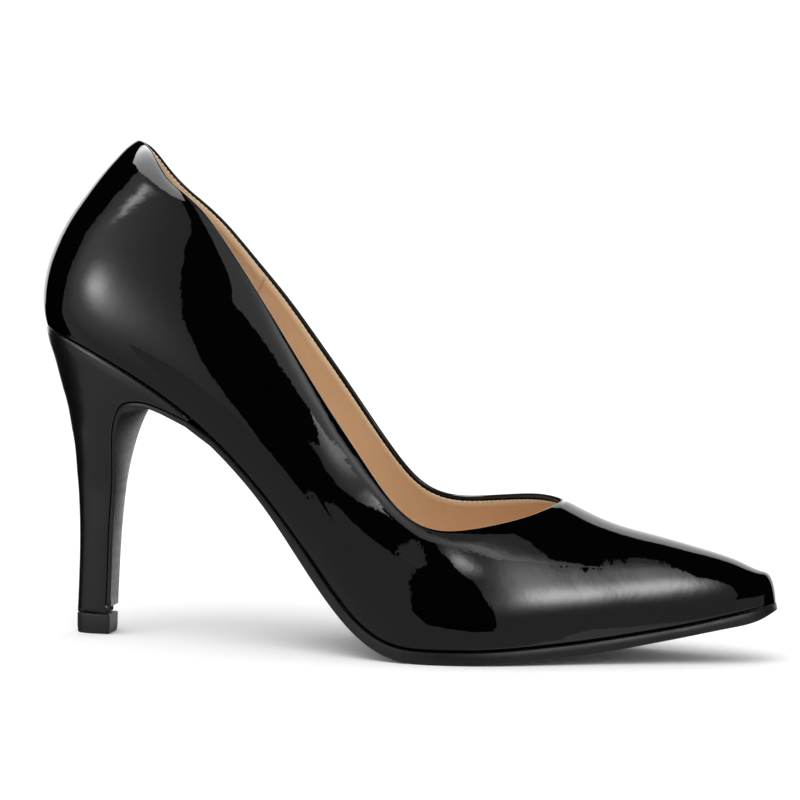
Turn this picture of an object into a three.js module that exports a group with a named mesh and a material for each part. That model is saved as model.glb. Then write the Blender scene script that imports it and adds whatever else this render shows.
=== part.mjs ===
// High-heeled court shoe for the right foot: a pointed upper with a low-cut throat, a thin outsole
// that runs on down the front of the heel, a slim heel with its top piece, and the insole board.
// Millimetres. +X points to the toe, +Z up and -Y to the outer side of the foot.
import * as THREE from 'three'

// Driving sizes of the last
const LENGTH = 225.5
const SEAT_RISE = 91
const TOE_SPRING = 13.9
const BALL_WIDTH = 77.6
const SEAT_WIDTH = 55.6
const SIDE_RISE = 19
const CROWN = 55.5
const SWING = 6.8
const BACK_HEIGHT = 57
const BACK_LEAN = 26

// Shares: places along the last, where the flap thins and ends, and the sole's section
const ORIGIN_SHARE = 0.4967
const THROAT_SHARE = 0.7118
const LEAN_END_SHARE = 0.541
const WEDGE_SHARE = 0.224
const FLAP_THIN_SHARE = 0.25
const FLAP_END_SHARE = 0.99
const SHOULDER_SHARE = 0.6
const EDGE_CROWN_SHARE = 0.12
const INSET_SHARE = 0.3

// Thicknesses and the clearance between neighbours
const WALL = 1.7
const SOLE = 4
const WAIST_SOLE = 2
const FLAP = 1.2
const SOLE_LIP = 0.4
const SOLE_CROWN = 2.2
const EDGE_ROUND = 0.6
const INSOLE = 3
const GAP = 0.3

// Top piece of the heel
const TIP_HEIGHT = 6.1
const TIP_LENGTH = 11.4
const TIP_WIDTH = 9.9
const TIP_BACK = 9.8
const TIP_TAPER = 0.3

// Facets
const OPENING_COLUMNS = 34
const VAMP_COLUMNS = 15
const UPPER_ROWS = 10
const HEEL_LEVELS = 22
const HEEL_SIDE_POINTS = 9
const TIP_SIDE_POINTS = 10
const FLAP_STATIONS = 17
const INSOLE_END_STATIONS = 4

// Steps for slopes, and what still counts as being at a place
const SLOPE_STEP = 0.2
const TURN_STEP = 1e-3
const TINY = 1e-6
const HALVINGS = 40

// Side view of the last from back to toe. at: place as a share of LENGTH. rise of SEAT_RISE plus
// spring of TOE_SPRING is the height of the feather line above its lowest point. side of SIDE_RISE
// leads up to the widest line and crown of CROWN on to the ridge.
const PROFILE = [
  { at: 0.000, rise: 1.000, spring: 0.000, side: 0.74, crown: 0.99 },
  { at: 0.022, rise: 0.986, spring: 0.000, side: 0.76, crown: 0.99 },
  { at: 0.062, rise: 0.952, spring: 0.000, side: 0.82, crown: 0.99 },
  { at: 0.115, rise: 0.891, spring: 0.000, side: 0.89, crown: 0.98 },
  { at: 0.186, rise: 0.788, spring: 0.000, side: 0.97, crown: 0.96 },
  { at: 0.257, rise: 0.651, spring: 0.000, side: 1.00, crown: 0.96 },
  { at: 0.328, rise: 0.471, spring: 0.000, side: 0.97, crown: 0.98 },
  { at: 0.390, rise: 0.284, spring: 0.000, side: 0.89, crown: 1.00 },
  { at: 0.448, rise: 0.113, spring: 0.000, side: 0.79, crown: 1.00 },
  { at: 0.506, rise: 0.018, spring: 0.000, side: 0.69, crown: 0.955 },
  { at: 0.568, rise: 0.000, spring: 0.000, side: 0.63, crown: 0.847 },
  { at: 0.639, rise: 0.000, spring: 0.022, side: 0.59, crown: 0.694 },
  { at: 0.712, rise: 0.000, spring: 0.115, side: 0.55, crown: 0.539 },
  { at: 0.772, rise: 0.000, spring: 0.230, side: 0.50, crown: 0.422 },
  { at: 0.834, rise: 0.000, spring: 0.388, side: 0.43, crown: 0.343 },
  { at: 0.896, rise: 0.000, spring: 0.576, side: 0.33, crown: 0.270 },
  { at: 0.949, rise: 0.000, spring: 0.777, side: 0.20, crown: 0.202 },
  { at: 0.980, rise: 0.000, spring: 0.907, side: 0.115, crown: 0.149 },
  { at: 0.995, rise: 0.000, spring: 0.978, side: 0.045, crown: 0.105 },
  { at: 1.000, rise: 0.000, spring: 1.000, side: 0.000, crown: 0.000 },
]

// Plan of the last at the same places. seat of SEAT_WIDTH plus ball of BALL_WIDTH is the half
// width. centre and tilt of SWING move the middle and the ridge sideways. full makes the section
// squarer, or more pointed where it is below zero.
const PLAN = [
  { at: 0.000, seat: 0.000, ball: 0.000, centre: 0.00, tilt: 0.00, full: -0.060 },
  { at: 0.022, seat: 0.268, ball: 0.000, centre: 0.00, tilt: 0.00, full: -0.060 },
  { at: 0.062, seat: 0.401, ball: 0.000, centre: 0.00, tilt: 0.03, full: -0.062 },
  { at: 0.115, seat: 0.478, ball: 0.000, centre: 0.00, tilt: 0.07, full: -0.065 },
  { at: 0.186, seat: 0.500, ball: 0.000, centre: -0.03, tilt: 0.21, full: -0.070 },
  { at: 0.257, seat: 0.400, ball: 0.061, centre: -0.09, tilt: 0.44, full: -0.075 },
  { at: 0.328, seat: 0.280, ball: 0.137, centre: -0.15, tilt: 0.71, full: -0.080 },
  { at: 0.390, seat: 0.140, ball: 0.254, centre: -0.18, tilt: 0.91, full: -0.080 },
  { at: 0.448, seat: 0.050, ball: 0.368, centre: -0.18, tilt: 1.00, full: -0.080 },
  { at: 0.506, seat: 0.000, ball: 0.464, centre: -0.15, tilt: 0.96, full: -0.080 },
  { at: 0.568, seat: 0.000, ball: 0.500, centre: -0.10, tilt: 0.85, full: -0.078 },
  { at: 0.639, seat: 0.000, ball: 0.474, centre: -0.07, tilt: 0.71, full: -0.065 },
  { at: 0.712, seat: 0.000, ball: 0.394, centre: -0.04, tilt: 0.53, full: -0.042 },
  { at: 0.772, seat: 0.000, ball: 0.321, centre: -0.02, tilt: 0.38, full: -0.022 },
  { at: 0.834, seat: 0.000, ball: 0.250, centre: 0.00, tilt: 0.24, full: -0.005 },
  { at: 0.896, seat: 0.000, ball: 0.188, centre: 0.00, tilt: 0.12, full: 0.010 },
  { at: 0.949, seat: 0.000, ball: 0.135, centre: 0.00, tilt: 0.03, full: 0.022 },
  { at: 0.980, seat: 0.000, ball: 0.090, centre: 0.00, tilt: 0.00, full: 0.030 },
  { at: 0.995, seat: 0.000, ball: 0.046, centre: 0.00, tilt: 0.00, full: 0.030 },
  { at: 1.000, seat: 0.000, ball: 0.000, centre: 0.00, tilt: 0.00, full: 0.030 },
]

// Back seam. up: share of BACK_HEIGHT above the feather line. lean: share of BACK_LEAN forward.
const BACK_CURVE = [
  { up: -0.70, lean: 0.310 },
  { up: 0.00, lean: 0.000 },
  { up: 0.09, lean: -0.042 },
  { up: 0.167, lean: -0.050 },
  { up: 0.245, lean: -0.031 },
  { up: 0.35, lean: 0.023 },
  { up: 0.475, lean: 0.131 },
  { up: 0.58, lean: 0.254 },
  { up: 0.70, lean: 0.438 },
  { up: 0.825, lean: 0.654 },
  { up: 0.93, lean: 0.862 },
  { up: 1.05, lean: 1.096 },
  { up: 1.32, lean: 1.615 },
]

// Topline on each side. along: share of the way from the collar to the throat. outer and inner:
// height on each side of the foot, as a share of the way from the throat up to the collar.
const TOPLINE = [
  { along: 0.000, outer: 1.000, inner: 1.000 },
  { along: 0.024, outer: 0.993, inner: 0.978 },
  { along: 0.052, outer: 0.966, inner: 0.926 },
  { along: 0.090, outer: 0.907, inner: 0.866 },
  { along: 0.138, outer: 0.855, inner: 0.813 },
  { along: 0.195, outer: 0.798, inner: 0.748 },
  { along: 0.260, outer: 0.698, inner: 0.656 },
  { along: 0.335, outer: 0.560, inner: 0.548 },
  { along: 0.410, outer: 0.412, inner: 0.426 },
  { along: 0.490, outer: 0.258, inner: 0.287 },
  { along: 0.570, outer: 0.118, inner: 0.138 },
  { along: 0.638, outer: 0.014, inner: 0.028 },
  { along: 0.695, outer: -0.043, inner: -0.012 },
  { along: 0.750, outer: -0.066, inner: -0.019 },
  { along: 0.815, outer: -0.065, inner: -0.011 },
  { along: 0.890, outer: -0.048, inner: 0.002 },
  { along: 0.955, outer: -0.025, inner: 0.007 },
  { along: 1.000, outer: 0.000, inner: 0.000 },
]

// Levels of the heel from the top piece to the seat. backAt and frontAt: places of the back edge
// and the breast as shares of LENGTH. backUp and frontUp: their heights, as shares of the way from
// the top piece up to the feather line. half: half width at the breast as a share of SEAT_WIDTH.
// seat: how far the outline follows the feather line.
const HEEL = [
  { backAt: 0.0435, backUp: 0.000, frontAt: 0.0878, frontUp: 0.000, half: 0.088, seat: 0.00 },
  { backAt: 0.0454, backUp: 0.160, frontAt: 0.0904, frontUp: 0.204, half: 0.092, seat: 0.00 },
  { backAt: 0.0457, backUp: 0.311, frontAt: 0.0922, frontUp: 0.328, half: 0.103, seat: 0.00 },
  { backAt: 0.0435, backUp: 0.438, frontAt: 0.0953, frontUp: 0.441, half: 0.113, seat: 0.00 },
  { backAt: 0.0412, backUp: 0.509, frontAt: 0.0984, frontUp: 0.543, half: 0.142, seat: 0.00 },
  { backAt: 0.0386, backUp: 0.599, frontAt: 0.1024, frontUp: 0.646, half: 0.208, seat: 0.01 },
  { backAt: 0.0346, backUp: 0.669, frontAt: 0.1091, frontUp: 0.747, half: 0.282, seat: 0.05 },
  { backAt: 0.0293, backUp: 0.741, frontAt: 0.1215, frontUp: 0.836, half: 0.327, seat: 0.20 },
  { backAt: 0.0222, backUp: 0.802, frontAt: 0.1397, frontUp: 0.888, half: 0.360, seat: 0.42 },
  { backAt: 0.0155, backUp: 0.859, frontAt: 0.1619, frontUp: 0.924, half: 0.370, seat: 0.66 },
  { backAt: 0.0098, backUp: 0.908, frontAt: 0.1863, frontUp: 0.949, half: 0.375, seat: 0.85 },
  { backAt: 0.0035, backUp: 0.952, frontAt: 0.2062, frontUp: 0.966, half: 0.380, seat: 0.96 },
  { backAt: 0.0000, backUp: 0.990, frontAt: WEDGE_SHARE, frontUp: 0.984, half: 0.380, seat: 1.00 },
]

// Outsole along the foot. fore of SOLE plus waist of WAIST_SOLE is its thickness. lip of SOLE_LIP
// is how far its edge stands out. crown of SOLE_CROWN rounds its underside.
const SOLE_ROWS = [
  { at: 0.20, fore: 0.00, waist: 0.70, lip: 0.0, crown: 1.00 },
  { at: 0.25, fore: 0.00, waist: 0.85, lip: 0.0, crown: 0.95 },
  { at: 0.34, fore: 0.00, waist: 1.00, lip: 0.0, crown: 0.55 },
  { at: 0.39, fore: 0.45, waist: 0.50, lip: 0.2, crown: 0.30 },
  { at: 0.45, fore: 0.76, waist: 0.00, lip: 0.6, crown: 0.10 },
  { at: 0.53, fore: 1.00, waist: 0.00, lip: 1.0, crown: 0.00 },
  { at: 0.65, fore: 1.00, waist: 0.00, lip: 1.0, crown: 0.00 },
  { at: 0.80, fore: 0.93, waist: 0.00, lip: 1.0, crown: 0.00 },
  { at: 0.94, fore: 0.87, waist: 0.00, lip: 1.0, crown: 0.00 },
  { at: 0.98, fore: 0.82, waist: 0.00, lip: 1.0, crown: 0.00 },
  { at: 1.00, fore: 0.50, waist: 0.00, lip: 1.0, crown: 0.00 },
]

// Natural cubic spline through points with rising x
function spline(points) {
  const count = points.length
  const bend = new Array(count).fill(0)
  const carry = new Array(count).fill(0)
  for (let i = 1; i < count - 1; i++) {
    const [before, here, after] = [points[i - 1], points[i], points[i + 1]]
    const share = (here.x - before.x) / (after.x - before.x)
    const pivot = share * bend[i - 1] + 2
    const turn = (after.y - here.y) / (after.x - here.x) - (here.y - before.y) / (here.x - before.x)
    bend[i] = (share - 1) / pivot
    carry[i] = ((6 * turn) / (after.x - before.x) - share * carry[i - 1]) / pivot
  }
  for (let i = count - 2; i >= 0; i--) bend[i] = bend[i] * bend[i + 1] + carry[i]
  return x => {
    let i = 0
    while (i < count - 2 && x > points[i + 1].x) i++
    const step = points[i + 1].x - points[i].x
    const a = (points[i + 1].x - x) / step
    const b = 1 - a
    const curve = (a ** 3 - a) * bend[i] + (b ** 3 - b) * bend[i + 1]
    return a * points[i].y + b * points[i + 1].y + (curve * step * step) / 6
  }
}

// Column of a table as a spline over another column
const column = (rows, place, value) => spline(rows.map(row => ({ x: place(row), y: value(row) })))
const along = share => (share - ORIGIN_SHARE) * LENGTH
const mix = (a, b, share) => a + (b - a) * share

const BACK_X = along(0)
const TOE_X = along(1)
const THROAT_X = along(THROAT_SHARE)
const placeX = row => along(row.at)
const feather = column(PROFILE, placeX, row => SOLE + row.rise * SEAT_RISE + row.spring * TOE_SPRING)
const sideRise = column(PROFILE, placeX, row => row.side * SIDE_RISE)
const crownSquared = column(PROFILE, placeX, row => (row.crown * CROWN) ** 2)
const halfWidth = row => row.seat * SEAT_WIDTH + row.ball * BALL_WIDTH
const halfSquared = column(PLAN, placeX, row => halfWidth(row) ** 2)
const centre = column(PLAN, placeX, row => row.centre * SWING)
const tilt = column(PLAN, placeX, row => row.tilt * SWING)
const full = column(PLAN, placeX, row => row.full)
const lean = column(BACK_CURVE, row => row.up * BACK_HEIGHT, row => row.lean * BACK_LEAN)
const COLLAR_X = BACK_X + lean(BACK_HEIGHT)

// How much of the back seam's lean a section takes: all at the back, none past LEAN_END_SHARE
function leanShare(x) {
  const t = THREE.MathUtils.clamp((x - BACK_X) / (along(LEAN_END_SHARE) - BACK_X), 0, 1)
  return 1 - THREE.MathUtils.smootherstep(t, 0, 1)
}

// Point of the last: station x, angle from the widest line (0) up to the ridge (90 degrees), and
// side -1 for the outer and +1 for the inner side of the foot
function lastPoint(x, angle, side) {
  const q = full(x)
  const across = (Math.cos(angle) - q * Math.cos(3 * angle)) / (1 - q)
  const upward = (Math.sin(angle) + q * Math.sin(3 * angle)) / (1 - q)
  const base = feather(x)
  const height = Math.max(sideRise(x), 0) + Math.sqrt(Math.max(crownSquared(x), 0)) * upward
  const half = Math.sqrt(Math.max(halfSquared(x), 0))
  return new THREE.Vector3(
    x + lean(height) * leanShare(x),
    centre(x) + side * half * across + tilt(x) * upward,
    base + height,
  )
}

// Unit normal of the last, pointing out
function lastNormal(x, angle, side) {
  if (x > TOE_X - TINY) return new THREE.Vector3(1, 0, 0)
  const rise = lastPoint(x, angle + TURN_STEP, side).sub(lastPoint(x, angle - TURN_STEP, side))
  if (x < BACK_X + TINY) return new THREE.Vector3(-rise.z, 0, rise.x).normalize()
  const step = Math.min(SLOPE_STEP, (x - BACK_X) / 4, (TOE_X - x) / 4)
  const run = lastPoint(x + step, angle, side).sub(lastPoint(x - step, angle, side))
  return run.cross(rise).multiplyScalar(-side).normalize()
}

// Point at a depth inside the last's surface
function inside(x, angle, side, depth) {
  return lastPoint(x, angle, side).addScaledVector(lastNormal(x, angle, side), -depth)
}

// Angle at which a section reaches the height that target gives for the point's own x
function angleAt(x, side, target) {
  let low = -Math.PI / 2
  let high = Math.PI / 2
  for (let i = 0; i < HALVINGS; i++) {
    const middle = (low + high) / 2
    const point = lastPoint(x, middle, side)
    if (point.z < target(point.x)) low = middle
    else high = middle
  }
  return (low + high) / 2
}

const THROAT_Z = lastPoint(THROAT_X, Math.PI / 2, 1).z
const COLLAR_Z = feather(BACK_X) + BACK_HEIGHT
const toplineX = row => mix(COLLAR_X, THROAT_X, row.along)
const outerTop = column(TOPLINE, toplineX, row => mix(THROAT_Z, COLLAR_Z, row.outer))
const innerTop = column(TOPLINE, toplineX, row => mix(THROAT_Z, COLLAR_Z, row.inner))

const featherAngle = (x, side) => angleAt(x, side, () => feather(x))
function topAngle(x, side) {
  if (x > THROAT_X - TINY) return Math.PI / 2
  const top = side < 0 ? outerTop : innerTop
  return angleAt(x, side, pointX => top(Math.max(pointX, COLLAR_X)))
}
const featherY = (x, side) => lastPoint(x, featherAngle(x, side), side).y

// Stations from back to toe, close together at the back, the throat and the toe
const STATIONS = []
for (let i = 0; i < OPENING_COLUMNS; i++) {
  STATIONS.push(mix(BACK_X, THROAT_X, (1 - Math.cos((Math.PI * i) / OPENING_COLUMNS)) / 2))
}
for (let i = 0; i <= VAMP_COLUMNS; i++) {
  STATIONS.push(mix(THROAT_X, TOE_X, Math.sin((Math.PI * i) / VAMP_COLUMNS / 2)))
}

// Closed solid from triangles of points: corners at one place are shared, empty triangles dropped
class Solid {
  constructor() {
    this.points = []
    this.index = []
    this.known = new Map()
  }

  corner(point) {
    const key = [point.x, point.y, point.z].map(value => Math.round(value * 1e4)).join()
    if (!this.known.has(key)) {
      this.known.set(key, this.points.length / 3)
      this.points.push(point.x, point.y, point.z)
    }
    return this.known.get(key)
  }

  triangle(a, b, c) {
    const corners = [a, b, c].map(point => this.corner(point))
    if (new Set(corners).size === 3) this.index.push(...corners)
  }

  quad(a, b, c, d) {
    this.triangle(a, b, c)
    this.triangle(a, c, d)
  }

  geometry() {
    const geometry = new THREE.BufferGeometry()
    geometry.setAttribute('position', new THREE.Float32BufferAttribute(this.points, 3))
    geometry.setIndex(this.index)
    geometry.computeVertexNormals()
    return geometry
  }
}

// Solid through rings of as many points each. Ends that narrow to a line close by themselves, and
// a capped loft is closed by strips between the points that face each other across its end rings.
function loft(rings, capped) {
  const solid = new Solid()
  const count = rings[0].length
  for (let k = 0; k + 1 < rings.length; k++) {
    for (let i = 0; i < count; i++) {
      const j = (i + 1) % count
      solid.quad(rings[k][i], rings[k][j], rings[k + 1][j], rings[k + 1][i])
    }
  }
  if (!capped) return solid.geometry()
  const first = rings[0]
  const last = rings[rings.length - 1]
  for (let i = 0; i < Math.floor((count - 1) / 2); i++) {
    const j = count - 1 - i
    solid.quad(first[i], first[j], first[j - 1], first[i + 1])
    solid.quad(last[i], last[i + 1], last[j - 1], last[j])
  }
  return solid.geometry()
}

// Upper: outer surface, inner surface a wall's thickness inside it, and the rims that join them at
// the topline and at the open underside
function upperGeometry() {
  const solid = new Solid()
  for (const side of [-1, 1]) {
    const quad = (a, b, c, d) => (side < 0 ? solid.quad(a, b, c, d) : solid.quad(d, c, b, a))
    const columns = STATIONS.map(x => {
      const low = featherAngle(x, side)
      const high = topAngle(x, side)
      const rows = []
      for (let i = 0; i <= UPPER_ROWS; i++) {
        const angle = mix(low, high, i / UPPER_ROWS)
        const face = angle > Math.PI / 2 - TINY ? 1 : side
        rows.push({ out: lastPoint(x, angle, face), inn: inside(x, angle, face, WALL) })
      }
      return rows
    })
    for (let k = 0; k + 1 < columns.length; k++) {
      const [left, right] = [columns[k], columns[k + 1]]
      for (let i = 0; i < UPPER_ROWS; i++) {
        quad(left[i].out, right[i].out, right[i + 1].out, left[i + 1].out)
        quad(left[i + 1].inn, right[i + 1].inn, right[i].inn, left[i].inn)
      }
      quad(left[0].inn, right[0].inn, right[0].out, left[0].out)
      if (STATIONS[k] < THROAT_X - TINY) {
        const top = UPPER_ROWS
        quad(left[top].out, right[top].out, right[top].inn, left[top].inn)
      }
    }
  }
  return solid.geometry()
}

// Heel levels as splines over the level number
const levelColumn = value => spline(HEEL.map((row, level) => ({ x: level, y: value(row) })))
const heelBackX = levelColumn(row => along(row.backAt))
const heelFrontX = levelColumn(row => along(row.frontAt))
const heelBackUp = levelColumn(row => row.backUp)
const heelFrontUp = levelColumn(row => row.frontUp)
const heelHalf = levelColumn(row => row.half * SEAT_WIDTH)
const heelSeat = levelColumn(row => row.seat)
const TOP_LEVEL = HEEL.length - 1
const HEEL_FOOT = TIP_HEIGHT + GAP

// Height at a share of the way from the top piece to the feather line above x
const heelZ = (x, up) => mix(HEEL_FOOT, feather(x) - GAP, up)

// Half width of the heel at a level, a share of the way from its back edge to its breast
function heelY(level, way, side) {
  const round = Math.sqrt(1 - (1 - way) ** 2) * heelHalf(level) * side
  const seat = THREE.MathUtils.clamp(heelSeat(level), 0, 1)
  return mix(round, featherY(mix(BACK_X, heelFrontX(level), way), side), seat)
}

function heelRing(level, lift) {
  const ring = []
  for (let i = -HEEL_SIDE_POINTS; i <= HEEL_SIDE_POINTS; i++) {
    const way = 1 - Math.cos((Math.PI / 2) * Math.abs(i) / HEEL_SIDE_POINTS)
    const x = mix(heelBackX(level), heelFrontX(level), way)
    const up = mix(heelBackUp(level), heelFrontUp(level), way)
    const y = i === 0 ? 0 : heelY(level, way, Math.sign(i))
    ring.push(new THREE.Vector3(x, y, heelZ(x, mix(up, 1, lift))))
  }
  return ring
}

function heelGeometry() {
  const rings = []
  for (let k = 0; k <= HEEL_LEVELS; k++) rings.push(heelRing((TOP_LEVEL * k) / HEEL_LEVELS, 0))
  rings.push(heelRing(TOP_LEVEL, 1))
  return loft(rings.reverse(), true)
}

// Top piece: a block with a straight front and a round back, slightly smaller on the ground
function tipGeometry() {
  const ring = (z, inset) => {
    const points = []
    for (let i = -TIP_SIDE_POINTS; i <= TIP_SIDE_POINTS; i++) {
      const way = 1 - Math.cos((Math.PI / 2) * Math.abs(i) / TIP_SIDE_POINTS)
      const x = BACK_X + TIP_BACK + inset + (TIP_LENGTH - 2 * inset) * way
      const half = (TIP_WIDTH / 2 - inset) * Math.sqrt(1 - (1 - way) ** 4)
      points.push(new THREE.Vector3(x, Math.sign(i) * half, z))
    }
    return points
  }
  return loft([ring(TIP_HEIGHT, 0), ring(TIP_HEIGHT / 3, 0), ring(0, TIP_TAPER)], true)
}

// Path of the outsole's upper face, from the toe back along the feather line and down the breast,
// with the half widths, thickness and crown at each of its stations; the last one closes its end
const soleThick = column(SOLE_ROWS, placeX, row => row.fore * (SOLE - GAP) + row.waist * WAIST_SOLE)
const soleLip = column(SOLE_ROWS, placeX, row => row.lip * SOLE_LIP)
const soleCrown = column(SOLE_ROWS, placeX, row => row.crown * SOLE_CROWN)

function solePath() {
  const path = []
  for (const x of [...STATIONS].reverse()) {
    if (x < along(WEDGE_SHARE) + 2 * SOLE) break
    const lip = x > TOE_X - TINY ? 0 : soleLip(x)
    const half = side => Math.abs(featherY(x, side)) + lip
    const [near, far] = [half(-1), half(1)]
    path.push({ x, z: feather(x), near, far, thick: soleThick(x), crown: soleCrown(x) })
  }
  for (let i = 0; i <= FLAP_STATIONS; i++) {
    const share = i / FLAP_STATIONS
    const level = TOP_LEVEL * (1 - share * FLAP_END_SHARE)
    const x = heelFrontX(level)
    const half = side => Math.abs(heelY(level, 1, side))
    path.push({
      x,
      z: heelZ(x, heelFrontUp(level)),
      near: half(-1),
      far: half(1),
      thick: mix(soleThick(along(WEDGE_SHARE)), FLAP, Math.min(share / FLAP_THIN_SHARE, 1)),
      crown: SOLE_CROWN * (1 - share),
    })
  }
  path.push({ ...path[path.length - 1], near: 0, far: 0 })
  return path
}

function outsoleGeometry() {
  const path = solePath()
  const rings = path.map((stop, k) => {
    const here = Math.min(k, path.length - 2)
    const before = path[Math.max(here - 1, 0)]
    const after = path[Math.min(here + 1, path.length - 2)]
    const run = new THREE.Vector2(after.x - before.x, after.z - before.z).normalize()
    const place = (y, depth) => {
      const x = stop.x - run.y * (depth + GAP)
      const z = stop.z + run.x * (depth + GAP)
      return new THREE.Vector3(x, y, Math.max(z, 0))
    }
    const half = side => (side < 0 ? stop.near : stop.far)
    const ring = []
    const edge = Math.min(EDGE_ROUND, stop.thick / 3)
    for (const side of [-1, 1]) {
      const width = half(side)
      const inset = Math.min(2 * edge, INSET_SHARE * width)
      const outline = [
        place(0, 0),
        place(side * (width - inset / 4), 0),
        place(side * width, edge / 2),
        place(side * width, stop.thick - edge),
        place(side * (width - inset / 3), stop.thick - edge / 4),
        place(side * (width - inset), stop.thick + stop.crown * EDGE_CROWN_SHARE),
        place(side * width * SHOULDER_SHARE, stop.thick + stop.crown * (1 - SHOULDER_SHARE ** 2)),
        place(0, stop.thick + stop.crown),
      ]
      if (side < 0) ring.push(...outline)
      else ring.push(...outline.reverse().slice(1, -1))
    }
    return ring
  })
  return loft(rings.reverse(), false)
}

// Insole board: follows the feather line inside the upper, with round ends
const INSOLE_TOE_X = TOE_X - 2 * INSOLE
function insoleGeometry() {
  const rings = []
  const stops = STATIONS.filter(x => x < INSOLE_TOE_X - INSOLE)
  for (let i = 0; i <= INSOLE_END_STATIONS; i++) {
    stops.push(INSOLE_TOE_X - INSOLE * (1 - Math.sin((Math.PI / 2) * i / INSOLE_END_STATIONS)))
  }
  for (const x of stops) {
    const slope = (feather(x + SLOPE_STEP / 2) - feather(x - SLOPE_STEP / 2)) / SLOPE_STEP
    const up = new THREE.Vector3(-slope, 0, 1).normalize()
    const end = Math.sqrt(1 - THREE.MathUtils.clamp((x - INSOLE_TOE_X + INSOLE) / INSOLE, 0, 1) ** 2)
    const edges = [-1, 1].map(side => inside(x, featherAngle(x, side), side, WALL + GAP))
    const middle = (edges[0].x + edges[1].x) / 2
    const low = side => new THREE.Vector3(middle, edges[side < 0 ? 0 : 1].y * end, feather(middle))
    const high = side => low(side).addScaledVector(up, INSOLE)
    rings.push([low(-1), low(1), high(1), high(-1)])
  }
  return loft(rings, false)
}

// Finishes
const patent = new THREE.MeshStandardMaterial({ color: 0x0b0b0d, roughness: 0.08, metalness: 0 })
const soleEdge = new THREE.MeshStandardMaterial({ color: 0x161617, roughness: 0.42, metalness: 0 })
const lacquer = new THREE.MeshStandardMaterial({ color: 0x121214, roughness: 0.3, metalness: 0 })
const topPiece = new THREE.MeshStandardMaterial({ color: 0x1a1a1b, roughness: 0.55, metalness: 0 })
const lining = new THREE.MeshStandardMaterial({ color: 0xc29a6c, roughness: 0.5, metalness: 0 })

const shoe = new THREE.Group()
function add(name, geometry, material) {
  const mesh = new THREE.Mesh(geometry, material)
  mesh.name = name
  shoe.add(mesh)
}
add('upper', upperGeometry(), patent)
add('outsole', outsoleGeometry(), soleEdge)
add('heel', heelGeometry(), lacquer)
add('heel_tip', tipGeometry(), topPiece)
add('insole', insoleGeometry(), lining)

// The origin is on the ground, under the middle of the shoe
const box = new THREE.Box3().setFromObject(shoe)
shoe.position.set(-(box.min.x + box.max.x) / 2, -(box.min.y + box.max.y) / 2, 0)

export default shoe
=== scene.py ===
"""High-heeled court shoe in black patent leather, dressed around its solids. Sizes are in millimetres."""
import math

import bpy
import bmesh
import numpy as np
from mathutils import Matrix, Vector


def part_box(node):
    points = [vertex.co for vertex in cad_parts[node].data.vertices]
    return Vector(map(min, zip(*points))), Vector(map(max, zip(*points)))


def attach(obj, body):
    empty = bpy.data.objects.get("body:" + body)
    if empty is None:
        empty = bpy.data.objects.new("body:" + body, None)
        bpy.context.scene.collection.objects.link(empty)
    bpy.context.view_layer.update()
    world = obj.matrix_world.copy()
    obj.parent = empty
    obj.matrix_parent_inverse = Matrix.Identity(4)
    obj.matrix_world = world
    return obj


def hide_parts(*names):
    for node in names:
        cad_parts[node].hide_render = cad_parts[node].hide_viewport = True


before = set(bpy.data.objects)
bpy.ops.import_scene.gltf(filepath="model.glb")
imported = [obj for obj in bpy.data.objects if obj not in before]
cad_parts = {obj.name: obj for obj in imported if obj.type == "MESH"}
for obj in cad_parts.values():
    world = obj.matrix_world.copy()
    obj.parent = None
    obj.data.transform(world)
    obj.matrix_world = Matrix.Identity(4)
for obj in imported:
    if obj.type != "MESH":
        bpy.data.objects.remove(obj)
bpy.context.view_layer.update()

MM = 0.001

# Driving sizes of the last, as the solids have them
LENGTH = 225.5
SEAT_RISE = 91.0
TOE_SPRING = 13.9
BALL_WIDTH = 77.6
SEAT_WIDTH = 55.6
SIDE_RISE = 19.0
CROWN = 55.5
SWING = 6.8
BACK_HEIGHT = 57.0
BACK_LEAN = 26.0
ORIGIN_SHARE = 0.4967
THROAT_SHARE = 0.7118
LEAN_END_SHARE = 0.541
WEDGE_SHARE = 0.224

# Thicknesses and clearances
SOLE = 4.0
WAIST_SOLE = 2.0
FLAP = 1.2
SOLE_LIP = 0.4
SOLE_CROWN = 2.2
EDGE_ROUND = 0.6
INSOLE = 3.0
WALL = 1.7
GAP = 0.3

# Top piece
TIP_HEIGHT = 6.1
TIP_LENGTH = 11.4
TIP_WIDTH = 9.9
TIP_BACK = 9.8
TIP_TAPER = 0.3

# Patent leather's rolled edges, the band turned inside and the lining
RIM = 0.7
ROLL = 1.1
LINING = 0.45
COUNTER = 0.35
TUCK = 0.02
PINK_DEPTH = 0.3
PINK_PITCH = 1.7

# How far the topline is drawn in: place as a share of the way from collar to throat, and depth
CURL = [(0.0, 1.0), (0.12, 0.9), (0.25, 0.45), (0.40, 0.30), (0.60, 0.30), (0.85, 0.35), (1.0, 0.2)]
CURL_REACH = 6.0

# How far the rim stands above the solid's edge to make up for the curl
LIFT = [(0.0, 1.5), (0.12, 0.9), (0.25, 0.5), (0.40, 0.35), (1.0, 0.3)]

# Band of patent turned inside: place as a share of the way from collar to throat, and its width
BAND = [(0.0, 0.25), (0.12, 0.3), (0.25, 0.45), (0.40, 0.7), (0.60, 0.8), (0.80, 1.0), (1.0, 1.4)]

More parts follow.
